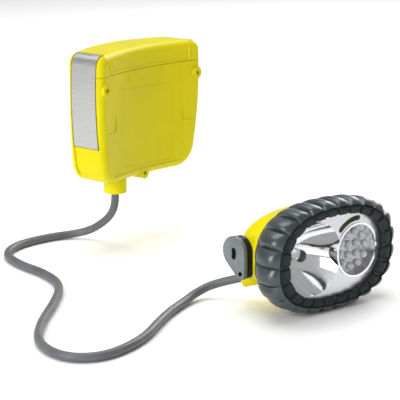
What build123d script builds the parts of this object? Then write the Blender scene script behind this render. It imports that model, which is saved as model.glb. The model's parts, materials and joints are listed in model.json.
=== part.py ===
from build123d import *
import math
import os

# Cap lamp: a belt battery pack with a lift-off lid, a cord, and a lamp head on two pivoting ears.
# Millimetres, +Z up.  The origin is the mouth of the bottom lug's screw hole, on the pack's
# wearer side (-Y); +Y points away from the wearer and +X along the pack's width.

os.makedirs("parts", exist_ok=True)

# ---- battery pack -------------------------------------------------------------------------
pack_width = 118.0        # across the belly, at belly_z
pack_depth = 36.0         # from the wearer face to the outer face, on the centre line
pack_floor = -1.5         # height of the underside
part_line = 79.0          # height of the joint between body and lid
pack_top = 94.0           # height of the lid's shoulders
top_crown = 1.0           # extra height of the lid at its middle
belly_z = 68.0            # height where the pack is widest
side_bow_r = 300.0        # radius of the bowed sides
back_sag = 9.0            # how far the wearer face bends forward at the sides
outer_sag = 13.5          # how far the outer face falls back at the sides
corner_low = 18.0
corner_top = 8.0
back_edge_r = 5.5
outer_edge_r = 6.0
wall = 2.5
part_gap = 0.3            # open joint between body and lid
panel_half = 40.0         # half width of the sunk wearer panel
panel_sunk = 0.45
panel_low = 4.0           # height of the panel's lower end
band_sunk = 0.4           # the lid's middle band, below its corner blocks
band_half = 45.0

lug_r = 4.3
lug_x = 52.5
lug_z = 69.5
lug_mouth_y = -8.4
lug_length = 11.0
screw_hole_r = 1.6
screw_hole_depth = 10.0
lug_gap = 0.03
lug_places = {            # (x, z, height of the mouth along Y)
    "bottom": (0, 0, 0),
    "left": (-lug_x, lug_z, lug_mouth_y),
    "right": (lug_x, lug_z, lug_mouth_y),
}

# ---- side latches -------------------------------------------------------------------------
strap_width = 22.0
strap_t = 0.8
strap_under = 0.15        # strap face below the pack's surface
channel_depth = 1.3
channel_side_gap = 1.0
latch_y = 9.0
latch_pin_z = 27.8
latch_pin_r = 0.7
knuckle_wall = 0.7
pin_clearance = 0.05
knuckle_gap = 0.3
pin_boss_r = 3.2
pin_end_hold = 0.8
hook_length = 8.0         # how far the hook reaches over the lid's shoulder

# ---- cells and contacts -------------------------------------------------------------------
cell_r = 13.1
cell_length = 50.0
cell_foot_z = 31.0
cell_pitch = 26.5
cell_places = [(-1.5, 12.8), (-0.5, 17.3), (0.5, 17.3), (1.5, 12.8)]   # (pitches along X, Y)
nub_r = 2.75
nub_h = 1.4
carrier_t = 2.0
carrier_gap = 0.3
carrier_half = 50.0
spring_h = 4.5
spring_width = 8.0
strip_t = 0.4
cell_lid_gap = 0.5        # free air between the cells and the lid's contact strips
skirt_t = 1.0
skirt_gap = 0.3
skirt_depth = 3.5
gasket_width = 0.9
gasket_h = 1.1
gasket_inset = 1.45
rib_t = 2.0
rib_places = [-42.0, 0.0, 42.0]

# ---- cord ---------------------------------------------------------------------------------
cord_r = 2.9
collar_r = 8.5
grommet_r = 4.6
grommet_gap = 0.05
grommet_lip = 0.4
floor_z = -53.0           # the surface that the cord and the lamp head lie on
lie = floor_z + cord_r
cord_route = [
    (-24, 9, -11.5), (-24, 9, -21), (-22.5, 15, -30.5), (-20, 26, -39), (-19.5, 38.5, -46.5),
    (-26, 51, lie),
    (-44, 59, lie), (-74, 62, lie), (-98, 51, lie), (-111, 25, lie), (-116, -4, lie),
    (-130, -32, lie), (-162, -55, lie), (-198, -76, lie), (-225, -97, lie), (-237, -116, lie),
    (-239.5, -135.5, lie), (-227, -149, lie), (-207, -151, lie), (-181, -146.5, lie),
    (-154, -135, lie), (-130, -126, lie), (-108, -120.5, lie), (-93, -118, -48.2),
    (-79.5, -124.5, -43), (-73, -142.6, -37.5),
]
clamp_size = (26.0, 9.0, 5.0)
clamp_z = 6.0
clamp_screw_x = 9.0
clamp_screw_r = 1.5
clamp_post_r = 3.0
wire_r = 0.9

# ---- lamp head, in its own axes: x across, y back from the front opening, z up --------------
head_place = Pos(-55, -205, -16) * Rot(0, 0, -12.4)
oval_power = 2.5
opening = (41.2, 27.0)    # half width and half height of the bezel's front opening
bezel_front = (53.0, 34.0)
bezel_belly = (57.0, 37.0)
bezel_rear = (50.0, 33.0)
bezel_belly_t = 13.0
bezel_length = 26.0
bezel_lip = 1.6
flute_count = 24
flute_r = 5.5
flute_depth = 1.4
lens_t = 1.8
seal_t = 1.0
head_gap = 0.3
housing_front = (44.6, 30.4)
housing_wall = 2.2
dome_start = 20.0         # where the housing starts to close
dome_depth = 44.0
dome_power_across = 3.0
dome_power_up = 2.0
dome_steps = [26.0, 33.0, 40.0, 46.0, 51.0, 55.0, 58.5, 61.5, 63.3]
cheek_u = 41.0            # flat cheeks that the ears turn against
cheek_t = 33.0

bowl_u = -18.0
bowl_r = 24.6
bowl_focus = 6.0
reflector_t = 1.2
reflector_face = 5.0      # front face of the silvered plate
bulb_hole_r = 5.2
bulb_r = 4.2
bulb_tip = 13.0
bulb_glass = 11.0
socket_r = 6.5
socket_length = 10.0
led_u = 21.2
led_ring_r = 18.3
led_ring_t = 1.2
led_pitch_r = 11.7
led_inner_r = 5.1
led_r = 2.5
led_face = 9.2            # front face of the plate that the LEDs stand in
led_tip = 6.2
led_plate_t = 1.6
led_board_t = 1.6
led_board_back = 3.0
plate_slot_w = 3.5

ear_t = 47.0              # pivot, back from the opening
ear_v = 1.2
ear_r = 10.5
ear_tip_r = 4.0
ear_tip = (-6.7, -13.5)   # tip hole from the pivot, back and up
ear_hole_r = 1.7
ear_plate_t = 2.5
ear_block_t = 5.0
ear_gap = 0.4
stub_r = 6.0
stub_clearance = 0.06
slot_w = 4.0
slot_r = 4.0
washer_r = 7.6
washer_t = 0.8
pivot_head_r = 4.2
pivot_head_h = 1.2
pivot_screw_r = 1.5

knob_r = 9.0
knob_h = 7.0
knob_ribs = 16
shaft_r = 2.4
shaft_clearance = 0.05
rotor_r = 6.5
rotor_t = 2.0
oring_r = 0.55
head_boss_r = 6.5
head_boss_length = 16.0


def save(part, node):
    part.label = node
    export_step(part, "parts/" + node + ".step")


# ------------------------------------------------------------------------------- pack shapes
def side_x(z, inset):
    return pack_width / 2 - inset - (z - belly_z) ** 2 / (2 * side_bow_r)


def front_outline(inset):
    low = pack_floor + inset
    high = pack_top - inset
    lo_x, hi_x, half = side_x(low, inset), side_x(high, inset), pack_width / 2 - inset
    lines = [
        Line((-lo_x, low), (lo_x, low)),
        ThreePointArc((lo_x, low), (half, belly_z), (hi_x, high)),
        ThreePointArc((hi_x, high), (0, high + top_crown), (-hi_x, high)),
        ThreePointArc((-hi_x, high), (-half, belly_z), (-lo_x, low)),
    ]
    face = make_face(lines)
    face = fillet(face.vertices().group_by(Axis.Y)[0], corner_low - inset)
    return fillet(face.vertices().group_by(Axis.Y)[-1], corner_top - inset)


def plan_outline(inset):
    w = pack_width / 2 + 1
    back, out = inset - back_sag, pack_depth - outer_sag - inset
    lines = [
        ThreePointArc((-w, back), (0, inset), (w, back)),
        Line((w, back), (w, out)),
        ThreePointArc((w, out), (0, pack_depth - inset), (-w, out)),
        Line((-w, out), (-w, back)),
    ]
    return make_face(lines)


def slab(low, high):
    return Pos(0, 0, (low + high) / 2) * Box(300, 200, high - low)


def pack_block(inset):
    upright = extrude(Plane.XZ * front_outline(inset), 100, both=True)
    plan = Pos(0, 0, -20) * extrude(plan_outline(inset), 140)
    block = upright & plan
    block = fillet(block.faces().sort_by(Axis.Y)[0].edges(), max(back_edge_r - inset, 1.0))
    return fillet(block.faces().sort_by(Axis.Y)[-1].edges(), max(outer_edge_r - inset, 1.0))


def back_strip(half, sunk, low, high):
    # all that lies in front of the wearer face once it is set back by sunk, |x| < half
    w = pack_width / 2 + 1
    arc = ThreePointArc((-w, sunk - back_sag), (0, sunk), (w, sunk - back_sag))
    rim = Polyline((w, sunk - back_sag), (w, -40), (-w, -40), (-w, sunk - back_sag))
    strip = Pos(0, 0, low) * extrude(make_face([arc, rim]), high - low)
    return strip & Box(2 * half, 200, 400)


def y_rod(radius, x, z, y_from, y_to):
    rod = Cylinder(radius, y_to - y_from)
    return Pos(x, (y_from + y_to) / 2, z) * Rot(90, 0, 0) * rod


outer_block = pack_block(0)
cavity = pack_block(wall)
body_top = part_line - part_gap / 2
lid_foot = part_line + part_gap / 2
gland_x, gland_y, gland_z = cord_route[0]
cell_top = cell_foot_z + cell_length
strip_z = cell_top + cell_lid_gap
low_carrier_z = cell_foot_z - spring_h

latch_inset = strap_under + latch_pin_r + pin_clearance + knuckle_wall
knuckle_r = latch_pin_r + pin_clearance + knuckle_wall
latch_pin_x = side_x(latch_pin_z, 0) - latch_inset
channel_low = latch_y - strap_width / 2 - channel_side_gap
channel_high = latch_y + strap_width / 2 + channel_side_gap
hook_x = pack_width / 2 - hook_length - 1.0


def channel(side):
    beyond = Pos(side * (hook_x - channel_side_gap + 50), latch_y, 50) * Box(
        100, channel_high - channel_low, 160)
    groove = beyond - extrude(Plane.XZ * front_outline(channel_depth), 100, both=True)
    return groove + y_rod(knuckle_r + knuckle_gap, side * latch_pin_x, latch_pin_z,
                          channel_low, channel_high)


def cell_place(number):
    pitches, y = cell_places[number]
    return pitches * cell_pitch, y


def cells_grown(extra):
    rods = [Pos(*cell_place(i), cell_foot_z) * Cylinder(
        cell_r + extra, cell_length, align=(Align.CENTER, Align.CENTER, Align.MIN))
        for i in range(len(cell_places))]
    return rods


def pack_body():
    body = (outer_block & slab(-40, body_top)) - cavity
    body -= back_strip(panel_half, panel_sunk, panel_low, pack_top)
    for x in rib_places:
        body += cavity & (Pos(x, 0, 0) * Box(rib_t, 200, 2 * low_carrier_z - 2 * carrier_t))
    for side in (-1, 1):
        body += y_rod(pin_boss_r, side * latch_pin_x, latch_pin_z, channel_low - pin_end_hold - 1,
                      channel_high + pin_end_hold + 1) & outer_block
        body -= channel(side)
        body -= y_rod(latch_pin_r, side * latch_pin_x, latch_pin_z, channel_low - pin_end_hold,
                      channel_high + pin_end_hold)
    for x, z, mouth in lug_places.values():
        body -= y_rod(lug_r + lug_gap, x, z, mouth - 10, mouth + lug_length + lug_gap)
    for side in (-1, 1):
        post = Cylinder(clamp_post_r, clamp_z, align=(Align.CENTER, Align.CENTER, Align.MIN))
        body += Pos(gland_x + side * clamp_screw_x, gland_y, 0) * post
        body -= Pos(gland_x + side * clamp_screw_x, gland_y, clamp_z) * Cylinder(
            clamp_screw_r, 8)
    seat = Cylinder(collar_r + lug_gap, 20, align=(Align.CENTER, Align.CENTER, Align.MAX))
    return body - Pos(gland_x, gland_y, pack_floor + wall + lug_gap) * seat


def screw_lug(place):
    x, z, mouth = lug_places[place]
    lug = y_rod(lug_r, x, z, mouth, mouth + lug_length)
    return lug - y_rod(screw_hole_r, x, z, mouth - 1, mouth + screw_hole_depth)


def cord_collar():
    collar_h = pack_floor + wall - gland_z
    collar = Cylinder(collar_r, collar_h, align=(Align.CENTER, Align.CENTER, Align.MIN))
    collar = fillet(collar.edges().group_by(Axis.Z)[0], 1.2)
    return Pos(gland_x, gland_y, gland_z) * (collar - Cylinder(grommet_r, 60))


def pack_lid():
    lid = (outer_block & slab(lid_foot, 120)) - cavity
    lid -= back_strip(band_half, band_sunk, lid_foot - 1, lid_foot + 8)
    hidden = wall + skirt_gap + skirt_t
    lid += (cavity - pack_block(hidden)) & slab(lid_foot, lid_foot + 4)
    skirt = (pack_block(wall + skirt_gap) - pack_block(hidden)) & slab(
        lid_foot - skirt_depth, lid_foot + 1)
    for rod in cells_grown(0.6):
        skirt -= rod
        lid -= rod
    lid += skirt
    for side in (-1, 1):
        lid -= channel(side)
    groove = pack_block(gasket_inset) - pack_block(gasket_inset + gasket_width)
    return lid - (groove & slab(lid_foot - 1, lid_foot + gasket_h - part_gap / 2))


def lid_gasket():
    inset = gasket_inset + 0.05
    ring = pack_block(inset) - pack_block(inset + gasket_width - 0.1)
    return ring & slab(lid_foot - part_gap / 2, lid_foot + gasket_h - part_gap / 2 - 0.05)


def latch(side):
    reach = Pos(side * (hook_x + 50), latch_y, (latch_pin_z + 120) / 2) * Box(
        100, strap_width, 120 - latch_pin_z)
    outer = extrude(Plane.XZ * front_outline(strap_under), 100, both=True)
    inner = extrude(Plane.XZ * front_outline(strap_under + strap_t), 100, both=True)
    strap = (outer - inner) & reach
    ends = (latch_y - strap_width / 2, latch_y + strap_width / 2)
    strap += y_rod(knuckle_r, side * latch_pin_x, latch_pin_z, *ends)
    return strap - y_rod(latch_pin_r + pin_clearance, side * latch_pin_x, latch_pin_z,
                         ends[0] - 1, ends[1] + 1)


def cell(number):
    up = number % 2 == 0
    x, y = cell_place(number)
    can = Pos(0, 0, 0 if up else nub_h) * Cylinder(
        cell_r, cell_length - nub_h, align=(Align.CENTER, Align.CENTER, Align.MIN))
    can = fillet(can.edges(), 0.8)
    nub = Pos(0, 0, cell_length - nub_h - 1 if up else 0) * Cylinder(
        nub_r, nub_h + 1, align=(Align.CENTER, Align.CENTER, Align.MIN))
    return Pos(x, y, cell_foot_z) * (can + nub)


def contact_carrier_low():
    plate = pack_block(wall + carrier_gap) & slab(low_carrier_z - carrier_t, low_carrier_z)
    return plate & Box(2 * carrier_half, 200, 400)


def contact_springs():
    springs = []
    for i in range(len(cell_places)):
        x, y = cell_place(i)
        path = Polyline((-7, 0.3), (5, 0.3), (-4, spring_h - 0.4), (4, spring_h - 0.4))
        leaf = extrude(trace(path, line_width=strip_t), spring_width / 2, both=True)
        springs.append((Pos(x, y, low_carrier_z) * Rot(90, 0, 0) * leaf).solid())
    return Compound(children=springs)


def contact_carrier_top():
    inset = wall + skirt_gap + skirt_t + carrier_gap
    return pack_block(inset) & slab(strip_z + strip_t, strip_z + strip_t + carrier_t)


def contact_strips():
    strips = []
    for left, right in ((0, 1), (2, 3)):
        (x1, y1), (x2, y2) = cell_place(left), cell_place(right)
        turn = math.degrees(math.atan2(y2 - y1, x2 - x1))
        strip = Box(cell_pitch + 8, 8, strip_t, align=(Align.CENTER, Align.CENTER, Align.MIN))
        strips.append(Pos((x1 + x2) / 2, (y1 + y2) / 2, strip_z) * Rot(0, 0, turn) * strip)
    return Compound(children=strips)


def pack_grommet():
    low, high = gland_z, pack_floor + wall
    sleeve = Pos(0, 0, low) * Cylinder(
        grommet_r - grommet_gap, high - low, align=(Align.CENTER, Align.CENTER, Align.MIN))
    flange = Pos(0, 0, high) * Cylinder(
        grommet_r + grommet_lip, 1.6, align=(Align.CENTER, Align.CENTER, Align.MIN))
    bush = sleeve + flange - Cylinder(cord_r + grommet_gap, 80)
    return Pos(gland_x, gland_y, 0) * bush


def cord_clamp():
    block = Pos(gland_x, gland_y, clamp_z) * Box(
        *clamp_size, align=(Align.CENTER, Align.CENTER, Align.MIN))
    block -= Pos(gland_x, gland_y, 0) * Cylinder(cord_r + 0.02, 80)
    for side in (-1, 1):
        block -= Pos(gland_x + side * clamp_screw_x, gland_y, 0) * Cylinder(
            clamp_screw_r + 0.1, 80)
    return block


def clamp_screws():
    screws = []
    top = clamp_z + clamp_size[2]
    for side in (-1, 1):
        head = Cylinder(2.8, 1.8, align=(Align.CENTER, Align.CENTER, Align.MIN))
        shank = Pos(0, 0, -8) * Cylinder(
            clamp_screw_r - 0.02, 8.5, align=(Align.CENTER, Align.CENTER, Align.MIN))
        screws.append(Pos(gland_x + side * clamp_screw_x, gland_y, top) * (head + shank))
    return Compound(children=screws)


def cord_tail_pack():
    return Pos(gland_x, gland_y, gland_z) * Cylinder(
        cord_r, clamp_z + clamp_size[2] + 2 - gland_z, align=(Align.CENTER, Align.CENTER, Align.MIN))


def pack_wires():
    foot = clamp_z + clamp_size[2] + 2
    top = low_carrier_z - carrier_t
    wires = [Pos(gland_x + side * 1.5, gland_y, foot) * Cylinder(
        wire_r, top - foot, align=(Align.CENTER, Align.CENTER, Align.MIN)) for side in (-1, 1)]
    return Compound(children=wires)


# ------------------------------------------------------------------------------- the cord
def cord():
    points = [Vector(*p) for p in cord_route]
    radii = []
    for before, corner, after in zip(points, points[1:], points[2:]):
        into, out = corner - before, after - corner
        half_turn = math.radians(into.get_angle(out)) / 2
        radii.append(0.45 * min(into.length, out.length) / math.tan(half_turn))
    path = FilletPolyline(*points, radius=radii)
    print("cord radii", [round(r, 1) for r in radii])
    print("cord length", round(path.length, 1))
    start = Plane(origin=path @ 0, z_dir=path % 0)
    tube = sweep(start * Circle(cord_r), path=path)
    print("cord volume / section x length",
          round(tube.volume / (math.pi * cord_r ** 2 * path.length), 4))
    return tube


# ------------------------------------------------------------------------------- head shapes
def oval(half, t):
    points = []
    for i in range(36):
        a = 2 * math.pi * i / 36
        c, s = math.cos(a), math.sin(a)
        points.append((math.copysign(abs(c) ** (2 / oval_power), c) * half[0],
                       math.copysign(abs(s) ** (2 / oval_power), s) * half[1]))
    face = make_face(Spline(*points, periodic=True))
    return Plane(origin=(0, t, 0), x_dir=(1, 0, 0), z_dir=(0, -1, 0)) * face


def oval_plate(half, t_front, t_back):
    return extrude(oval(half, t_back), t_back - t_front)


def grow(half, extra):
    return (half[0] + extra, half[1] + extra)


def disc(radius, u, v, t_front, t_back):
    rod = Cylinder(radius, t_back - t_front)
    return Pos(u, (t_front + t_back) / 2, v) * Rot(90, 0, 0) * rod


def cross_rod(radius, t, v, u_from, u_to):
    rod = Cylinder(radius, abs(u_to - u_from))
    return Pos((u_from + u_to) / 2, t, v) * Rot(0, 90, 0) * rod


block_in = cheek_u + ear_gap
block_out = block_in + ear_block_t
plate_out = block_out + ear_plate_t
washer_out = block_out - ear_gap - pivot_head_h
washer_in = washer_out - washer_t
lens_front = bezel_lip
lens_back = lens_front + lens_t
seal_back = lens_back + seal_t
rim_t = seal_back + head_gap
bowl_depth = bowl_r ** 2 / (4 * bowl_focus)
bowl_bottom = reflector_face + bowl_depth


def dome_half(t, inset):
    s = max(t - dome_start, 0) / dome_depth
    across = (1 - s ** dome_power_across) ** (1 / dome_power_across)
    up = (1 - s ** dome_power_up) ** (1 / dome_power_up)
    return (housing_front[0] * across - inset, housing_front[1] * up - inset)


def dome(inset, steps):
    return loft([oval(dome_half(t, inset), t) for t in steps])


def bezel():
    shell = loft([oval(bezel_front, 0), oval(bezel_belly, bezel_belly_t),
                  oval(bezel_rear, bezel_length)])
    shell -= oval_plate(opening, -1, bezel_length + 1)
    shell -= oval_plate(grow(housing_front, head_gap), bezel_lip, bezel_length + 1)
    for i in range(flute_count):
        a = 2 * math.pi * (i + 0.5) / flute_count
        c, s = math.cos(a), math.sin(a)
        u = math.copysign(abs(c) ** (2 / oval_power), c) * bezel_belly[0]
        v = math.copysign(abs(s) ** (2 / oval_power), s) * bezel_belly[1]
        out = Vector(abs(u / bezel_belly[0]) ** (oval_power - 1) / bezel_belly[0] * math.copysign(1, u),
                     abs(v / bezel_belly[1]) ** (oval_power - 1) / bezel_belly[1] * math.copysign(1, v))
        out = out.normalized() * (flute_r - flute_depth)
        shell -= disc(flute_r, u + out.X, v + out.Y, -1, bezel_length + 1)
    return shell


def front_lens():
    return oval_plate(grow(housing_front, -0.1), lens_front, lens_back)


def lens_seal():
    ring = oval_plate(grow(housing_front, -0.1), lens_back, seal_back)
    return ring - oval_plate(grow(housing_front, -housing_wall), lens_back - 1, seal_back + 1)


def head_housing():
    shell = oval_plate(housing_front, rim_t, dome_steps[0]) + dome(0, dome_steps)
    for side in (-1, 1):
        shell -= Pos(side * (cheek_u + 50), cheek_t + 50, 0) * Box(100, 100, 200)
        stub_end = washer_in
        if side > 0:
            stub_end = plate_out
        shell += cross_rod(stub_r, ear_t, ear_v, side * (cheek_u - 12), side * stub_end)
    inner_steps = [t for t in dome_steps if t < dome_start + dome_depth - 4]
    hollow = oval_plate(grow(housing_front, -housing_wall), rim_t - 1, dome_steps[0])
    hollow += dome(housing_wall, inner_steps)
    for side in (-1, 1):
        hollow -= Pos(side * (cheek_u - housing_wall + 50), cheek_t + 50, 0) * Box(100, 100, 200)
    to_head = head_place.inverse()
    inlet = to_head * boss_plane.location
    shell += inlet * Pos(0, 0, -head_boss_length) * Cylinder(
        head_boss_r, head_boss_length, align=(Align.CENTER, Align.CENTER, Align.MIN))
    hollow &= dome(housing_wall, inner_steps) + oval_plate(housing_front, 0, dome_steps[0])
    shell -= hollow
    shell -= inlet * Pos(0, 0, -head_boss_length) * Cylinder(grommet_r, 2 * head_boss_length + 20)
    shell -= cross_rod(shaft_r + shaft_clearance, ear_t, ear_v, cheek_u - 14, cheek_u + 20)
    return shell - cross_rod(pivot_screw_r, ear_t, ear_v, -cheek_u - 20, -cheek_u + 8)


def led_places():
    inner = [(led_inner_r, 360 * (i + 0.5) / 4) for i in range(4)]
    ring = [(led_pitch_r, 360 * (i + 0.25) / 10) for i in range(10)]
    return [(led_u + r * math.cos(math.radians(a)), r * math.sin(math.radians(a)))
            for r, a in inner + ring]


def plate_slot():
    mid = led_ring_r + 3.4
    arc = CenterArc((led_u, 0), mid, 88, 46)
    band = make_face(offset(arc, plate_slot_w / 2))
    face = Plane(origin=(0, reflector_face + 4, 0), x_dir=(1, 0, 0), z_dir=(0, -1, 0)) * band
    return extrude(face, 8)


def bowl_solid(extra):
    # solid of revolution of the parabola, with its mouth at the plate
    count = 8
    points = [(bowl_r * i / count, bowl_depth * (1 - (i / count) ** 2)) for i in range(count + 1)]
    curve = Spline(*[(r + extra * (r > 0), y + (extra if r < bowl_r else 0)) for r, y in points])
    start, end = curve @ 0, curve @ 1
    rim = Polyline(end, (end.X, -1), (0, -1), start)
    half = make_face([curve, rim])
    solid = revolve(half, Axis.Y)
    return Pos(bowl_u, reflector_face, 0) * solid


def reflector():
    plate = oval_plate(grow(housing_front, -housing_wall - 0.2), reflector_face,
                       reflector_face + reflector_t)
    inside = oval_plate(grow(housing_front, -housing_wall - 0.2), reflector_face, 60)
    shell = plate + (bowl_solid(reflector_t) & inside)
    shell -= bowl_solid(0)
    shell -= disc(led_ring_r + 0.1, led_u, 0, -5, 60)
    shell -= disc(bulb_hole_r, bowl_u, 0, 10, 60)
    return shell - plate_slot()


def led_cup():
    back = led_face + led_plate_t
    cup = disc(led_ring_r, led_u, 0, reflector_face - 0.6, back + led_board_back)
    cup -= disc(led_ring_r - led_ring_t, led_u, 0, 0, led_face)
    cup -= disc(led_ring_r - led_ring_t, led_u, 0, back, 60)
    for u, v in led_places():
        cup -= disc(led_r + 0.05, u, v, 0, 60)
    return cup


def leds():
    lamps = []
    foot = led_face + led_plate_t
    for u, v in led_places():
        lamp = disc(led_r, u, v, led_tip + led_r, foot) + Pos(u, led_tip + led_r, v) * Sphere(led_r)
        lamps.append(lamp - disc(2 * led_r, u, v, foot, foot + led_r))
    return Compound(children=lamps)


def led_board():
    front = led_face + led_plate_t
    return disc(led_ring_r - led_ring_t - 0.1, led_u, 0, front, front + led_board_t)


def halogen_bulb():
    glass = disc(bulb_r, bowl_u, 0, bulb_tip + bulb_r, bulb_tip + bulb_glass)
    glass += Pos(bowl_u, bulb_tip + bulb_r, 0) * Sphere(bulb_r)
    return glass + disc(bulb_r - 0.8, bowl_u, 0, bulb_tip + bulb_glass, bowl_bottom + 4)


def bulb_socket():
    body = disc(socket_r, bowl_u, 0, bowl_bottom + reflector_t + 0.2, bowl_bottom + socket_length)
    return body - disc(bulb_r - 0.75, bowl_u, 0, 0, bowl_bottom + 4)


def lamp_chassis():
    front = bowl_bottom + reflector_t + 2
    half = dome_half(front + 2, housing_wall + 0.4)
    plate = oval_plate(half, front, front + 2)
    for side in (-1, 1):
        plate -= Pos(side * (cheek_u - 3 + 50), front, 0) * Box(100, 20, 200)
    for v in (-12, 12):
        plate += disc(2.5, led_u, v, led_face + led_plate_t + led_board_t + 0.05, front)
    return plate - disc(socket_r + 0.05, bowl_u, 0, 0, 60)


# the cord's inlet: a plane at its last point, facing back along the cord
inlet_dir = Vector(*cord_route[-2]) - Vector(*cord_route[-1])
boss_plane = Plane(origin=cord_route[-1], z_dir=inlet_dir)


def head_grommet():
    sleeve = Cylinder(grommet_r - grommet_gap, 8, align=(Align.CENTER, Align.CENTER, Align.MAX))
    return boss_plane.location * (sleeve - Cylinder(cord_r + grommet_gap, 40))


def cord_tail_head():
    return boss_plane.location * Cylinder(
        cord_r, head_boss_length + 1, align=(Align.CENTER, Align.CENTER, Align.MAX))


# ------------------------------------------------------------------------------- ears and switch


def teardrop(side, u_from, u_to, shrink=0.0):
    big = cross_rod(ear_r - shrink, ear_t, ear_v, side * u_from, side * u_to)
    tip_t, tip_v = ear_t + ear_tip[0], ear_v + ear_tip[1]
    small = cross_rod(ear_tip_r - shrink, tip_t, tip_v, side * u_from, side * u_to)
    apart = math.hypot(*ear_tip)
    lean = math.asin((ear_r - ear_tip_r) / apart)
    along = math.atan2(ear_tip[1], ear_tip[0])
    sides = []
    for turn in (1, -1):
        a = along + turn * (math.pi / 2 - lean)
        sides.append([(ear_t + (ear_r - shrink) * math.cos(a), ear_v + (ear_r - shrink) * math.sin(a)),
                      (tip_t + (ear_tip_r - shrink) * math.cos(a),
                       tip_v + (ear_tip_r - shrink) * math.sin(a))])
    outline = [sides[0][0], sides[0][1], (tip_t, tip_v), sides[1][1], sides[1][0], (ear_t, ear_v)]
    web = make_face(Polyline(*outline, close=True))
    web = Plane(origin=(side * u_from, 0, 0), x_dir=(0, 1, 0), z_dir=(1, 0, 0)) * web
    return big + small + extrude(web, side * (u_to - u_from))


def tip_hole(side):
    return cross_rod(ear_hole_r, ear_t + ear_tip[0], ear_v + ear_tip[1], side * 30, side * 70)


def ear_plate(side):
    plate = teardrop(side, block_out, plate_out) - tip_hole(side)
    if side > 0:
        return plate - cross_rod(stub_r + stub_clearance, ear_t, ear_v, 30, 70)
    bean = make_face(offset(CenterArc((ear_t + slot_r - 0.6, ear_v - 1), slot_r, 150, 60), slot_w / 2))
    bean = Plane(origin=(-plate_out - 1, 0, 0), x_dir=(0, 1, 0), z_dir=(1, 0, 0)) * bean
    return plate - extrude(bean, ear_plate_t + 2)


def ear_block(side):
    block = teardrop(side, block_in, block_out, 0.4) - tip_hole(side)
    block -= cross_rod(stub_r + stub_clearance, ear_t, ear_v, side * 30, side * 70)
    if side < 0:
        block -= cross_rod(washer_r + ear_gap, ear_t, ear_v, ear_gap - washer_in, -70)
    return block


def pivot_washer():
    ring = cross_rod(washer_r, ear_t, ear_v, -washer_in, -washer_out)
    return ring - cross_rod(pivot_screw_r + 0.1, ear_t, ear_v, -30, -70)


def pivot_screw():
    shank = cross_rod(pivot_screw_r - 0.02, ear_t, ear_v, -(cheek_u - 7), -washer_out)
    head = cross_rod(pivot_head_r, ear_t, ear_v, -washer_out, -(washer_out + pivot_head_h))
    return shank + head


def switch_knob():
    inner, outer = plate_out + ear_gap, plate_out + ear_gap + knob_h
    knob = cross_rod(knob_r, ear_t, ear_v, inner, outer)
    knob = fillet(knob.edges().group_by(Axis.X)[-1], 1.2)
    for i in range(knob_ribs):
        a = 2 * math.pi * i / knob_ribs
        knob -= cross_rod(1.0, ear_t + (knob_r + 0.4) * math.cos(a),
                          ear_v + (knob_r + 0.4) * math.sin(a), inner - 1, outer - 1.5)
    return knob - cross_rod(shaft_r, ear_t, ear_v, inner - 1, outer - 2)


def switch_shaft():
    shaft = cross_rod(shaft_r, ear_t, ear_v, cheek_u - 14, plate_out + ear_gap + knob_h - 2)
    ring = cross_rod(shaft_r + 1, ear_t, ear_v, block_in + 1, block_in + 2.4)
    ring -= cross_rod(shaft_r - 2 * oring_r, ear_t, ear_v, 0, 90)
    return shaft - ring


def switch_oring():
    ring = Torus(shaft_r - oring_r + 0.02, oring_r)
    return Pos(block_in + 1.7, ear_t, ear_v) * Rot(0, 90, 0) * ring


def switch_rotor():
    rotor = cross_rod(rotor_r, ear_t, ear_v, cheek_u - 14, cheek_u - 14 + rotor_t)
    return rotor - cross_rod(shaft_r, ear_t, ear_v, 0, 90)


# ------------------------------------------------------------------------------- write the nodes
save(pack_body(), "pack_body")
for place in lug_places:
    save(screw_lug(place), "screw_lug_" + place)
save(cord_collar(), "cord_collar")
save(pack_lid(), "pack_lid")
save(lid_gasket(), "lid_gasket")
for side, word in ((-1, "left"), (1, "right")):
    save(latch(side), "latch_" + word)
    save(y_rod(latch_pin_r, side * latch_pin_x, latch_pin_z, channel_low - pin_end_hold,
               channel_high + pin_end_hold), "latch_pin_" + word)
for number in range(len(cell_places)):
    save(cell(number), "cell_" + str(number + 1))
save(contact_carrier_low(), "contact_carrier_low")
save(contact_springs(), "contact_springs")
save(contact_carrier_top(), "contact_carrier_top")
save(contact_strips(), "contact_strips")
save(pack_grommet(), "pack_grommet")
save(cord_clamp(), "cord_clamp")
save(clamp_screws(), "clamp_screws")
save(cord_tail_pack(), "cord_tail_pack")
save(pack_wires(), "pack_wires")
save(cord(), "cord")
save(cord_tail_head(), "cord_tail_head")
save(head_grommet(), "head_grommet")
head_nodes = {
    "head_housing": head_housing(),
    "bezel": bezel(),
    "front_lens": front_lens(),
    "lens_seal": lens_seal(),
    "reflector": reflector(),
    "led_cup": led_cup(),
    "leds": leds(),
    "led_board": led_board(),
    "halogen_bulb": halogen_bulb(),
    "bulb_socket": bulb_socket(),
    "lamp_chassis": lamp_chassis(),
    "ear_left": ear_plate(-1),
    "ear_right": ear_plate(1),
    "ear_block_left": ear_block(-1),
    "ear_block_right": ear_block(1),
    "pivot_washer": pivot_washer(),
    "pivot_screw": pivot_screw(),
    "switch_knob": switch_knob(),
    "switch_shaft": switch_shaft(),
    "switch_oring": switch_oring(),
    "switch_rotor": switch_rotor(),
}
for node, shape in head_nodes.items():
    save(head_place * shape, node)
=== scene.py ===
import json
import math
import bpy
from mathutils import Matrix, Vector


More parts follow.
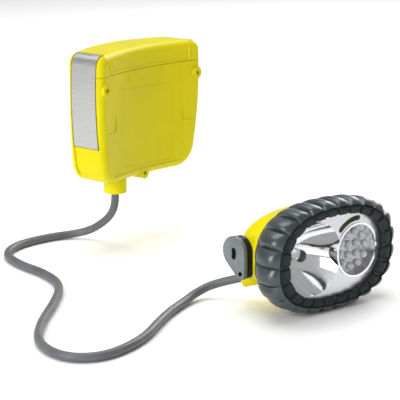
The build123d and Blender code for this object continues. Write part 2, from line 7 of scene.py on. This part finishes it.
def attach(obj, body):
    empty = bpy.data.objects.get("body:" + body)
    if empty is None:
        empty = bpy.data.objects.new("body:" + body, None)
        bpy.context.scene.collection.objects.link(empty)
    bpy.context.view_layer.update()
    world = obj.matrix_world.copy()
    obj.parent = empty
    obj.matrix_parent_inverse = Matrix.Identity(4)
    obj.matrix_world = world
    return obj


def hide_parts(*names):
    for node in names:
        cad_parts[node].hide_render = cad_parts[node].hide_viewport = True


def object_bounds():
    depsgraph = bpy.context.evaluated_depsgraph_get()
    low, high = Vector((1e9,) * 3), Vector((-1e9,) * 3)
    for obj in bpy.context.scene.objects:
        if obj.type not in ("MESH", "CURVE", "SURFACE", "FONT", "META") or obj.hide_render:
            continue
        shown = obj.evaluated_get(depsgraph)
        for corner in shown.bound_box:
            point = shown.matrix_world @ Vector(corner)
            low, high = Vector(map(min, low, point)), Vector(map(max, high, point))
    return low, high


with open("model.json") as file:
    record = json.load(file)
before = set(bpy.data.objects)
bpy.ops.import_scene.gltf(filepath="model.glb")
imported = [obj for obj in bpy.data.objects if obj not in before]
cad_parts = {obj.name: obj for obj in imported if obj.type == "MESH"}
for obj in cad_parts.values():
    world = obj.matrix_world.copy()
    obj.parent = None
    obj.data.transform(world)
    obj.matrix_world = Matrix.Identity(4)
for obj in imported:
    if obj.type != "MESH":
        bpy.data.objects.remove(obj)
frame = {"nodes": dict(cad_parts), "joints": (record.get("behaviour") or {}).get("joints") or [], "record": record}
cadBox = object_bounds()
scene = bpy.context.scene
joints = {joint["name"]: joint for joint in frame["joints"]}
mm = 0.001

# the lamp head's own axes: across to the LED side, back from the opening, up
headForward = Vector(joints["bezel_pull"]["axis"])
headUp = Vector((0, 0, 1))
headAcross = headUp.cross(headForward)
pivot = {"back": 47 * mm, "up": 1.2 * mm}
pivotMiddle = (Vector(joints["ear_left_tilt"]["pos_m"]) + Vector(joints["ear_right_tilt"]["pos_m"])) / 2
headCentre = pivotMiddle + headForward * pivot["back"] - headUp * pivot["up"]
headPlace = Matrix.Translation(headCentre) @ Matrix((headAcross, -headForward, headUp)).transposed().to_4x4()


# camera, floor and light
view = {"place": (-0.9472, -0.7670, 0.2781), "turn": -52.91, "down": 13.76, "roll": 0.5, "lens": 151.8}


def setCamera():
    deselectAll()
    bpy.ops.object.camera_add()
    camera = bpy.context.object
    turn = Matrix.Rotation(math.radians(view["turn"]), 4, "Z")
    tilt = Matrix.Rotation(math.radians(90 - view["down"]), 4, "X")
    roll = Matrix.Rotation(math.radians(view["roll"]), 4, "Z")
    camera.matrix_world = Matrix.Translation(view["place"]) @ turn @ tilt @ roll
    camera.data.lens = view["lens"]
    camera.data.sensor_width = 36
    camera.data.clip_start = 0.01
    scene.camera = camera


def deselectAll():
    if bpy.context.object and bpy.context.object.mode != "OBJECT":
        bpy.ops.object.mode_set(mode="OBJECT")
    bpy.ops.object.select_all(action="DESELECT")


studio = {
    "floorSize": 9.0,
    "floorDrop": 0.2 * mm,
    "floorColour": (0.97, 0.97, 0.97),
    "aim": (-0.05, -0.06, 0.0),
    "roomGlow": 0.40,
    "lamps": [   # name, place, watts, size, colour
        ("keyLamp", (-1.6, -0.05, 0.55), 19, 0.9, (1.0, 0.99, 0.97)),
        ("topLamp", (0.0, 0.3, 1.6), 18, 1.3, (1.0, 1.0, 1.0)),
        ("rimLamp", (1.3, 0.1, 0.7), 12, 0.8, (1.0, 1.0, 1.0)),
    ],
}


def setStudio():
    deselectAll()
    floorHeight = cadBox[0][2] - studio["floorDrop"]
    bpy.ops.mesh.primitive_plane_add(size=studio["floorSize"], location=(0, 0, floorHeight))
    floor = bpy.context.object
    floor.name = "studioFloor"
    floor.data.materials.append(plainPaint("floorPaint", studio["floorColour"], 0.8))
    target = Vector(studio["aim"])
    for name, place, watts, size, colour in studio["lamps"]:
        bpy.ops.object.light_add(type="AREA", location=place)
        lamp = bpy.context.object
        lamp.name = name
        lamp.data.energy = watts
        lamp.data.size = size
        lamp.data.color = colour
        lamp.rotation_euler = (target - Vector(place)).to_track_quat("-Z", "Y").to_euler()
    world = bpy.data.worlds.new("paleRoom")
    world.use_nodes = True
    world.node_tree.nodes["Background"].inputs["Color"].default_value = (1.0, 1.0, 1.0, 1)
    world.node_tree.nodes["Background"].inputs["Strength"].default_value = studio["roomGlow"]
    scene.world = world
    scene.view_settings.view_transform = "Standard"
    print("studio set")


# materials
def newMaterial(name):
    material = bpy.data.materials.new(name)
    material.use_nodes = True
    tree = material.node_tree
    return material, tree, tree.nodes["Principled BSDF"]


def plainPaint(name, colour, roughness):
    material, tree, shader = newMaterial(name)
    shader.inputs["Base Color"].default_value = (*colour, 1)
    shader.inputs["Roughness"].default_value = roughness
    return material


def addNoise(tree, scale, detail=3.0, stretch=(1, 1, 1)):
    place = tree.nodes.new("ShaderNodeTexCoord")
    mapping = tree.nodes.new("ShaderNodeMapping")
    mapping.inputs["Scale"].default_value = stretch
    noise = tree.nodes.new("ShaderNodeTexNoise")
    noise.inputs["Scale"].default_value = scale
    noise.inputs["Detail"].default_value = detail
    tree.links.new(place.outputs["Object"], mapping.inputs["Vector"])
    tree.links.new(mapping.outputs["Vector"], noise.inputs["Vector"])
    return noise


def addRamp(tree, source, low, high, lowAt=0.35, highAt=0.65):
    ramp = tree.nodes.new("ShaderNodeValToRGB")
    ramp.color_ramp.elements[0].position = lowAt
    ramp.color_ramp.elements[1].position = highAt
    ramp.color_ramp.elements[0].color = (*low, 1)
    ramp.color_ramp.elements[1].color = (*high, 1)
    tree.links.new(source, ramp.inputs["Fac"])
    return ramp


def addBump(tree, shader, source, strength, distance):
    bump = tree.nodes.new("ShaderNodeBump")
    bump.inputs["Strength"].default_value = strength
    bump.inputs["Distance"].default_value = distance
    tree.links.new(source, bump.inputs["Height"])
    tree.links.new(bump.outputs["Normal"], shader.inputs["Normal"])


def addSpread(tree, shader, source, low, high):
    spread = tree.nodes.new("ShaderNodeMapRange")
    spread.inputs["From Min"].default_value = 0.3
    spread.inputs["From Max"].default_value = 0.7
    spread.inputs["To Min"].default_value = low
    spread.inputs["To Max"].default_value = high
    tree.links.new(source, spread.inputs["Value"])
    tree.links.new(spread.outputs["Result"], shader.inputs["Roughness"])


finishes = {   # two close colours, roughness range, grain per metre, bump
    "yellowShell": {"colours": ((0.67, 0.59, 0.003), (0.71, 0.63, 0.004)), "rough": (0.28, 0.38),
                    "grain": 380, "bump": 0.05, "depth": 0.1 * mm, "soft": 0.05, "shine": 0.12},
    "gripRubber": {"colours": ((0.017, 0.029, 0.034), (0.026, 0.040, 0.047)), "rough": (0.28, 0.40),
                   "grain": 1600, "bump": 0.12, "depth": 0.06 * mm, "soft": 0, "shine": 0.9},
    "rimRubber": {"colours": ((0.011, 0.018, 0.020), (0.018, 0.027, 0.029)), "rough": (0.40, 0.52),
                  "grain": 1600, "bump": 0.12, "depth": 0.06 * mm, "soft": 0, "shine": 0.2},
    "earPlastic": {"colours": ((0.12, 0.14, 0.15), (0.17, 0.19, 0.205)), "rough": (0.38, 0.50),
                   "grain": 1400, "bump": 0.12, "depth": 0.05 * mm, "soft": 0},
    "blackPlastic": {"colours": ((0.008, 0.012, 0.015), (0.014, 0.019, 0.022)), "rough": (0.30, 0.42),
                     "grain": 1500, "bump": 0.12, "depth": 0.05 * mm, "soft": 0, "shine": 0.15},
    "sealRubber": {"colours": ((0.012, 0.012, 0.013), (0.020, 0.020, 0.021)), "rough": (0.6, 0.75),
                   "grain": 1800, "bump": 0.1, "depth": 0.04 * mm, "soft": 0},
    "cordJacket": {"colours": ((0.085, 0.095, 0.105), (0.115, 0.125, 0.135)), "rough": (0.40, 0.52),
                   "grain": 900, "bump": 0.08, "depth": 0.08 * mm, "soft": 0},
    "cellSleeve": {"colours": ((0.03, 0.035, 0.05), (0.05, 0.055, 0.07)), "rough": (0.3, 0.4),
                   "grain": 300, "bump": 0.04, "depth": 0.05 * mm, "soft": 0},
    "boardGreen": {"colours": ((0.01, 0.09, 0.03), (0.02, 0.13, 0.05)), "rough": (0.3, 0.45),
                   "grain": 900, "bump": 0.1, "depth": 0.05 * mm, "soft": 0},
    "wireRed": {"colours": ((0.35, 0.02, 0.02), (0.42, 0.03, 0.03)), "rough": (0.4, 0.5),
                "grain": 900, "bump": 0.05, "depth": 0.05 * mm, "soft": 0},
}


def mouldedFinish(name):
    look = finishes[name]
    material, tree, shader = newMaterial(name)
    cloud = addNoise(tree, look["grain"] * 0.06)
    grain = addNoise(tree, look["grain"], 5.0)
    tint = addRamp(tree, cloud.outputs["Fac"], *look["colours"])
    tree.links.new(tint.outputs["Color"], shader.inputs["Base Color"])
    addSpread(tree, shader, cloud.outputs["Fac"], *look["rough"])
    addBump(tree, shader, grain.outputs["Fac"], look["bump"], look["depth"])
    shader.inputs["Specular IOR Level"].default_value = look.get("shine", 0.5)
    if look["soft"]:
        shader.inputs["Subsurface Weight"].default_value = look["soft"]
        shader.inputs["Subsurface Radius"].default_value = (0.004, 0.0035, 0.0005)
        shader.inputs["Subsurface Scale"].default_value = 1.0
    return material


def metalFinish(name, colours, rough, stretch, grain, bump):
    material, tree, shader = newMaterial(name)
    shader.inputs["Metallic"].default_value = 1.0
    lines = addNoise(tree, grain, 4.0, stretch)
    tint = addRamp(tree, lines.outputs["Fac"], *colours)
    tree.links.new(tint.outputs["Color"], shader.inputs["Base Color"])
    addSpread(tree, shader, lines.outputs["Fac"], *rough)
    addBump(tree, shader, lines.outputs["Fac"], bump, 0.02 * mm)
    return material


# painted shade: the housing's front edge inside the bezel turns near-black over this band
bezelShadeBand = {"from": 7.2 * mm, "to": 6.8 * mm, "colour": (0.006, 0.008, 0.009)}


def bezelShadeFinish(name, source):   # the shell's yellow, with the front edge under the bezel painted near-black as shade
    material = source.copy()
    material.name = name
    tree = material.node_tree
    shader = tree.nodes["Principled BSDF"]
    place = tree.nodes.new("ShaderNodeTexCoord")
    along = tree.nodes.new("ShaderNodeVectorMath")
    along.operation = "DOT_PRODUCT"
    along.inputs[1].default_value = headForward
    tree.links.new(place.outputs["Object"], along.inputs[0])
    edge = tree.nodes.new("ShaderNodeMapRange")
    edge.inputs["From Min"].default_value = headForward.dot(headCentre) - bezelShadeBand["from"]
    edge.inputs["From Max"].default_value = headForward.dot(headCentre) - bezelShadeBand["to"]
    tree.links.new(along.outputs["Value"], edge.inputs["Value"])
    blend = tree.nodes.new("ShaderNodeMix")
    blend.data_type = "RGBA"
    blend.inputs["B"].default_value = (*bezelShadeBand["colour"], 1)
    tree.links.new(shader.inputs["Base Color"].links[0].from_socket, blend.inputs["A"])
    tree.links.new(edge.outputs["Result"], blend.inputs["Factor"])
    tree.links.new(blend.outputs["Result"], shader.inputs["Base Color"])
    return material


def clearFinish(name, colour, roughness, index):
    material, tree, shader = newMaterial(name)
    shader.inputs["Base Color"].default_value = (*colour, 1)
    shader.inputs["Transmission Weight"].default_value = 1.0
    shader.inputs["IOR"].default_value = index
    haze = addNoise(tree, 140)
    addSpread(tree, shader, haze.outputs["Fac"], roughness, roughness + 0.03)
    return material


def makeMaterials():
    looks = {name: mouldedFinish(name) for name in finishes}
    looks["latchSteel"] = metalFinish("latchSteel", ((0.46, 0.46, 0.455), (0.53, 0.53, 0.52)),
                                      (0.34, 0.46), (1, 1, 26), 90, 0.35)
    looks["springSteel"] = metalFinish("springSteel", ((0.55, 0.52, 0.45), (0.68, 0.65, 0.58)),
                                       (0.25, 0.40), (1, 1, 1), 400, 0.2)
    looks["mirrorSilver"] = metalFinish("mirrorSilver", ((0.90, 0.90, 0.91), (0.94, 0.94, 0.95)),
                                        (0.05, 0.09), (1, 1, 1), 120, 0.03)
    looks["plateSilver"] = metalFinish("plateSilver", ((0.74, 0.74, 0.76), (0.88, 0.88, 0.90)),
                                       (0.34, 0.50), (1, 1, 1), 900, 0.5)
    looks["cupSilver"] = metalFinish("cupSilver", ((0.24, 0.24, 0.26), (0.50, 0.50, 0.53)),
                                     (0.18, 0.35), (1, 1, 1), 260, 0.6)
    # the housing's yellow, with painted shade at its front edge under the bezel
    looks["headShell"] = bezelShadeFinish("headShell", looks["yellowShell"])
    looks["clearLens"] = clearFinish("clearLens", (0.99, 0.995, 1.0), 0.0, 1.2)
    looks["ledEpoxy"] = clearFinish("ledEpoxy", (0.93, 0.95, 0.98), 0.02, 1.5)
    epoxyShader = looks["ledEpoxy"].node_tree.nodes["Principled BSDF"]
    epoxyShader.inputs["Transmission Weight"].default_value = 0.2   # the LED bodies look cloudy
    looks["bulbGlass"] = clearFinish("bulbGlass", (1.0, 1.0, 1.0), 0.0, 1.45)
    print("materials made")
    return looks


slotLooks = {
    "yellow_shell": "yellowShell", "black_rubber": "gripRubber", "grey_plastic": "earPlastic",
    "clear_lens": "clearLens", "seal_rubber": "sealRubber", "latch_steel": "latchSteel",
    "silvered": "mirrorSilver", "led_epoxy": "ledEpoxy", "bulb_glass": "bulbGlass",
    "cell_sleeve": "cellSleeve", "carrier_plastic": "blackPlastic", "contact_metal": "springSteel",
    "circuit_board": "boardGreen", "screw_steel": "springSteel", "cord_jacket": "cordJacket",
    "wire_jacket": "wireRed",
}


nodeLooks = {   # nodes whose look isn't their slot's
    "ear_block_left": "blackPlastic", "ear_block_right": "blackPlastic", "head_housing": "headShell",
}


mirrorParts = [   # node, look of its flat faces, and how far behind the opening they lie
    ("reflector", "plateSilver", 4.5, 5.6),
    ("led_cup", "cupSilver", 8.8, 9.6),
]
earShadeReach = {"slot": 6.2, "hole": 1.9}   # reach of the painted shade in the ear's slot from the pivot and in its hole, in mm


def dressCadNodes():
    for row in frame["record"]["subparts"]:
        node = frame["nodes"][row["node"]]
        node.data.materials.clear()
        node.data.materials.append(looks[nodeLooks.get(row["node"], slotLooks[row["material_slot"]])])
        for face in node.data.polygons:
            face.material_index = 0
    toHead = headPlace.inverted()
    for name, look, low, high in mirrorParts:
        node = frame["nodes"][name]
        node.data.materials.append(looks[look])
        for face in node.data.polygons:
            back = (toHead @ face.center).y
            if low * mm < back < high * mm and abs(face.normal.dot(headForward)) > 0.8:
                face.material_index = len(node.data.materials) - 1
    for word in ("left", "right"):   # the walls inside the ear's slot and cord hole get black plastic as painted shade
        node = frame["nodes"]["ear_" + word]
        node.data.materials.append(looks["blackPlastic"])
        for face in node.data.polygons:
            spot = (toHead @ face.center) / mm
            back, up = spot.y - pivot["back"] / mm, spot.z - pivot["up"] / mm
            inSlot = math.hypot(back, up) < earShadeReach["slot"]
            inHole = math.hypot(back - earMake["tipAt"][0], up - earMake["tipAt"][1]) < earShadeReach["hole"]
            if abs(face.normal.dot(headAcross)) < 0.9 and (inSlot or inHole):
                face.material_index = 1
    print("CAD nodes dressed")


# the cord
cordMake = {"radius": 2.9 * mm, "height": -50.1, "around": 24}


def makeCord():
    lie = cordMake["height"]
    route = [
        (-24, 9, -11.5), (-24, 9, -21), (-22.5, 15, -30.5), (-20, 26, -39), (-19.5, 38.5, -46.5),
        (-26, 51, lie), (-44, 59, lie), (-74, 62, lie), (-98, 51, lie), (-111, 25, lie), (-116, -4, lie),
        (-130, -32, lie), (-162, -55, lie), (-198, -76, lie), (-225, -97, lie), (-237, -116, lie),
        (-239.5, -135.5, lie), (-227, -149, lie), (-207, -151, lie), (-181, -146.5, lie),
        (-154, -135, lie), (-130, -126, lie), (-108, -120.5, lie), (-93, -118, -48.2),
        (-79.5, -124.5, -43), (-73, -142.6, -37.5),
    ]
    line = bpy.data.curves.new("cordLine", "CURVE")
    line.dimensions = "3D"
    spline = line.splines.new("NURBS")
    spline.points.add(len(route) - 1)
    for point, place in zip(spline.points, route):
        point.co = (*[value * mm for value in place], 1)
    spline.order_u = 3
    spline.use_endpoint_u = True
    spline.resolution_u = 12
    line.bevel_depth = cordMake["radius"]
    line.bevel_resolution = 8
    line.use_fill_caps = True
    piece = bpy.data.objects.new("lampCord", line)
    scene.collection.objects.link(piece)
    line.materials.append(looks["cordJacket"])
    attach(piece, "pack")
    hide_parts("cord")
    print("cord laid")


# shaping helpers
def wrapGrid(name, around, along, placeAt, smoothAngle=40):
    deselectAll()
    bpy.ops.mesh.primitive_grid_add(x_subdivisions=around, y_subdivisions=along, size=1)
    piece = bpy.context.object
    piece.name = name
    for vertex in piece.data.vertices:
        share = round((vertex.co.x + 0.5) * around)
        row = round((vertex.co.y + 0.5) * along)
        vertex.co = placeAt(share / around, row)
    bpy.ops.object.mode_set(mode="EDIT")
    bpy.ops.mesh.select_all(action="SELECT")
    bpy.ops.mesh.remove_doubles(threshold=0.004 * mm)
    bpy.ops.mesh.normals_make_consistent(inside=False)
    bpy.ops.object.mode_set(mode="OBJECT")
    bpy.ops.object.shade_smooth_by_angle(angle=math.radians(smoothAngle))
    return piece


def finishPiece(piece, look, body, nodes=()):
    piece.data.materials.clear()
    piece.data.materials.append(looks[look])
    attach(piece, body)
    if nodes:
        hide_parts(*nodes)


def between(value, table):
    for (low, first), (high, last) in zip(table, table[1:]):
        if value <= high:
            return first + (last - first) * (value - low) / (high - low)
    return table[-1][1]


def ovalPoint(halfAcross, halfUp, share, power=2.5):
    turn = 2 * math.pi * share
    across, up = math.cos(turn), math.sin(turn)
    stretch = (abs(across / halfAcross) ** power + abs(up / halfUp) ** power) ** (-1 / power)
    return across * stretch, up * stretch


# rubber bezel
bezelMake = {
    "panels": 24, "perPanel": 22, "depth": 3.0, "opening": (41.2, 27.0), "rim": (50.6, 32.6),
    # half sizes as start, slope and bend with the distance back from the front
    "across": (53.0, 0.7308, -0.03254), "upward": (34.0, 0.5, -0.02071),
    "evenBy": (53, 35), "evenSteps": 2000,   # oval on which the panels are spaced evenly
    "foldBack": 0.6, "notchIn": 0.8, "notchBack": 1.32, "notchDeepBack": 0.33,
    # panel section going round: step at the low edge, a narrow band, then the broad back
    "section": [(0, 0.0), (0.05, 0.32), (0.22, 0.62), (0.32, 0.80), (0.45, 0.94), (0.60, 1.0),
                (0.75, 0.95), (0.86, 0.74), (0.94, 0.36), (1.0, 0.0)],
    "blocks": [(0, 1.0), (0.10, 1.0), (0.17, 0.0), (0.83, 0.0), (0.90, 1.0), (1.0, 1.0)],
    "rows": [   # back from the front, share of the way in to the opening, drop, panel relief, block relief
        (25.6, 0, 2.0, 0, 0), (26.0, 0, 1.6, 0, 0), (26.0, 0, 1.0, 0.1, 0), (25.4, 0, 0.5, 0.2, 0),
        (24.0, 0, 0.3, 0.35, 0), (21.0, 0, 0.2, 0.55, 0), (17.0, 0, 0.1, 0.75, 0), (13.0, 0, 0, 0.95, 0),
        (9.5, 0, -0.2, 1.1, 0), (7.0, 0, -0.6, 1.15, 0), (5.2, 0, -0.8, 1.1, 0), (3.6, 0.01, -0.9, 1.0, 0),
        (2.3, 0.04, -0.8, 0.85, 0), (1.3, 0.09, -0.5, 0.6, 0), (0.7, 0.15, -0.2, 0.4, 0),
        (0.6, 0.19, 0, 0.2, 0), (1.0, 0.22, 0, 0.1, 0), (2.2, 0.25, 0, 0, 0), (2.3, 0.29, 0, 0, 0.1),
        (1.2, 0.33, 0, 0, 0.8), (0.6, 0.38, 0, 0, 1), (0.4, 0.55, 0, 0, 1), (0.5, 0.72, 0, 0, 1),
        (0.8, 0.88, 0, 0, 1), (1.1, 1, 0, 0, 1), (1.5, 1, 0, 0, 0.6), (1.6, 1, -1.2, 0, 0),
        (1.6, 1, -3.5, 0, 0), (6.0, 1, -3.6, 0, 0), (14.0, 1, -3.6, 0, 0), (24.0, 1, -3.6, 0, 0),
    ],
}


def makeBezel():
    make = bezelMake
    rows = make["rows"] + make["rows"][:1]
    shares = evenOval(make["panels"] * make["perPanel"])

    def placeAt(share, row):
        back, inward, drop, panel, block = rows[row]
        phase = (share * make["panels"]) % 1.0
        relief = 1 - between(phase, make["section"])
        notch = between(phase, make["blocks"]) * block
        fold = make["depth"] * panel * relief
        sizes = []
        for (start, slope, bend), hole in zip((make["across"], make["upward"]), make["opening"]):
            outer = start + slope * back + bend * back * back
            half = outer * (1 - inward) + hole * inward
            sizes.append(half - drop - fold + make["notchIn"] * notch * inward)
        across, up = ovalPoint(*sizes, shares(share))
        sink = make["notchBack"] if back < 1 else make["notchDeepBack"]
        backward = back + fold * min(1.0, 4 * inward) * make["foldBack"] + notch * sink
        return headPlace @ Vector((across * mm, backward * mm, up * mm))

    bezel = wrapGrid("bezelRubber", make["panels"] * make["perPanel"], len(make["rows"]), placeAt, 30)
    finishPiece(bezel, "gripRubber", "front", ["bezel"])
    bezel.data.materials.append(looks["rimRubber"])
    for face in bezel.data.polygons:   # the ring in front and everything inside it is darker
        spot = headPlace.inverted() @ face.center
        inward = (abs(spot.x) / (make["rim"][0] * mm)) ** 2.5 + (abs(spot.z) / (make["rim"][1] * mm)) ** 2.5
        face.material_index = 1 if inward < 1 else 0
    print("bezel done")


def evenOval(steps):   # turns a share of the way round the rim into the oval's own parameter
    fine = bezelMake["evenSteps"]
    points = [Vector((*ovalPoint(*bezelMake["evenBy"], count / fine), 0)) for count in range(fine + 1)]
    lengths = [0.0]
    for first, second in zip(points, points[1:]):
        lengths.append(lengths[-1] + (second - first).length)
    table = []
    spot = 0
    for count in range(steps + 1):
        wanted = lengths[-1] * count / steps
        while spot < fine - 1 and lengths[spot + 1] < wanted:
            spot += 1
        part = (wanted - lengths[spot]) / (lengths[spot + 1] - lengths[spot])
        table.append((spot + part) / fine)
    return lambda share: table[round(share * steps)]


# marks on the pack's wearer face
markMake = {"spacing": 2, "endTaper": 0.35, "around": 12, "outside": -40 * mm}
faceMarks = {   # width, height, points along the mark as (across, up)
    "lidStepLeft": (2.0, 0.9, [(-45.4, 80.6), (-45.6, 86), (-45.8, 90.5)]),
    "lidStepRight": (2.0, 0.9, [(45.4, 80.6), (45.6, 86), (45.8, 90.5)]),
    "lidLedge": (1.3, 0.6, [(-44, 80.3), (-20, 80.3), (0, 80.3), (20, 80.3), (44, 80.3)]),
    "packRibLeft": (1.3, 0.75, [(-37, 48), (-37, 39.5), (-38.5, 37.2), (-41, 36.7), (-49, 36.6)]),
    "packRibRight": (1.3, 0.75, [(38.6, 45), (38.6, 35.8), (40.5, 34.2), (49, 33.6)]),
    "packTickLeft": (1.2, 0.7, [(-20, 70), (-20, 77)]),
    "packTickRight": (1.2, 0.7, [(17.6, 72), (17.6, 77.6)]),
    "packFootTick": (1.1, 0.6, [(-38.6, 1.5), (-38.6, 6.5)]),
    "packPanelLine": (0.9, 0.35, [(-33, 66.5), (24, 64), (28, 62.5), (29, 59), (29, 12), (28, 7.5),
                                  (24, 6), (-26, 8.5), (-30, 10)]),
}


def layOnFace(node, across, up):
    body = frame["nodes"][node]
    start = Vector((across * mm, markMake["outside"], up * mm))
    hit, spot, normal, face = body.ray_cast(start, Vector((0, 1, 0)))
    return spot, normal


def makeFaceMarks():
    for name, (width, height, corners) in faceMarks.items():
        node, body = ("pack_lid", "lid") if name.startswith("lid") else ("pack_body", "pack")
        line = []
        for (acrossA, upA), (acrossB, upB) in zip(corners, corners[1:]):
            steps = max(2, round(math.hypot(acrossB - acrossA, upB - upA) / markMake["spacing"]))
            line += [(acrossA + (acrossB - acrossA) * k / steps, upA + (upB - upA) * k / steps)
                     for k in range(steps)]
        line.append(corners[-1])
        spots = [layOnFace(node, *point) for point in line]

        def placeAt(share, row):
            spot, normal = spots[row]
            ahead = spots[min(row + 1, len(spots) - 1)][0] - spots[max(row - 1, 0)][0]
            side = normal.cross(ahead).normalized()
            taper = markMake["endTaper"] if row in (0, len(spots) - 1) else 1.0
            turn = 2 * math.pi * share
            return (spot + side * (width / 2 * taper * math.cos(turn) * mm)
                    + normal * (height * taper * math.sin(turn) * mm))

        mark = wrapGrid(name, markMake["around"], len(spots) - 1, placeAt, 60)
        finishPiece(mark, "yellowShell", body, ())
    print("face marks done")


# ears
earMake = {
    "head": 10.5, "tip": 4.0, "tipAt": (-6.7, -13.5), "tipShare": 0.30, "ease": 0.02,
    "teeth": 26, "toothDepth": 0.35, "toothFrom": math.radians(100), "steps": 180,
    "outer": 48.9, "sunk": 0.35, "swell": 0.33, "rimWidth": 0.075, "rimRows": 10,
}


def earOutline(steps):   # a teardrop round the pivot: points (back, up) in mm, with each point's turn
    make = earMake
    tip = Vector(make["tipAt"])
    lean = math.acos((make["head"] - make["tip"]) / tip.length)
    toTip = math.atan2(tip.y, tip.x)
    outline = []
    for step in range(steps):
        turn = toTip + math.pi * (2 * step / steps - 1)
        offset = abs(turn - toTip)
        if offset > lean + make["ease"]:
            tooth = 0.5 + 0.5 * math.sin(make["teeth"] * turn) if offset > make["toothFrom"] else 0
            reach = make["head"] - make["toothDepth"] * tooth
            outline.append((reach * math.cos(turn), reach * math.sin(turn)))
        else:
            share = offset / (lean + make["ease"])
            side = 1 if turn > toTip else -1
            corner = toTip + side * lean
            start = Vector((math.cos(corner), math.sin(corner)))
            if share > make["tipShare"]:
                part = (share - make["tipShare"]) / (1 - make["tipShare"])
                low = tip + start * make["tip"]
                spot = low + (start * make["head"] - low) * part
            else:
                swing = toTip + side * lean * share / make["tipShare"]
                spot = tip + Vector((math.cos(swing), math.sin(swing))) * make["tip"]
            outline.append((spot.x, spot.y))
    return outline


def makeEarSkirts():   # a soft raised rim round each ear's outer face
    make = earMake
    outline = earOutline(make["steps"])
    for word, side in (("Left", -1), ("Right", 1)):

        def placeAt(share, row, side=side):
            back, up = outline[round(share * make["steps"]) % make["steps"]]
            swing = 2 * math.pi * row / make["rimRows"]
            scale = 1 - make["rimWidth"] + make["rimWidth"] * math.cos(swing)
            across = make["outer"] - make["sunk"] + make["swell"] * math.sin(swing)
            return headPlace @ Vector((side * across * mm, (pivot["back"] / mm + back * scale) * mm,
                                       (pivot["up"] / mm + up * scale) * mm))

        rim = wrapGrid("earRim" + word, make["steps"], make["rimRows"], placeAt, 35)
        finishPiece(rim, "earPlastic", "ear_" + word.lower(), ())
    print("ear rims done")


setCamera()
setStudio()
looks = makeMaterials()
dressCadNodes()
makeCord()
makeBezel()
makeFaceMarks()
makeEarSkirts()
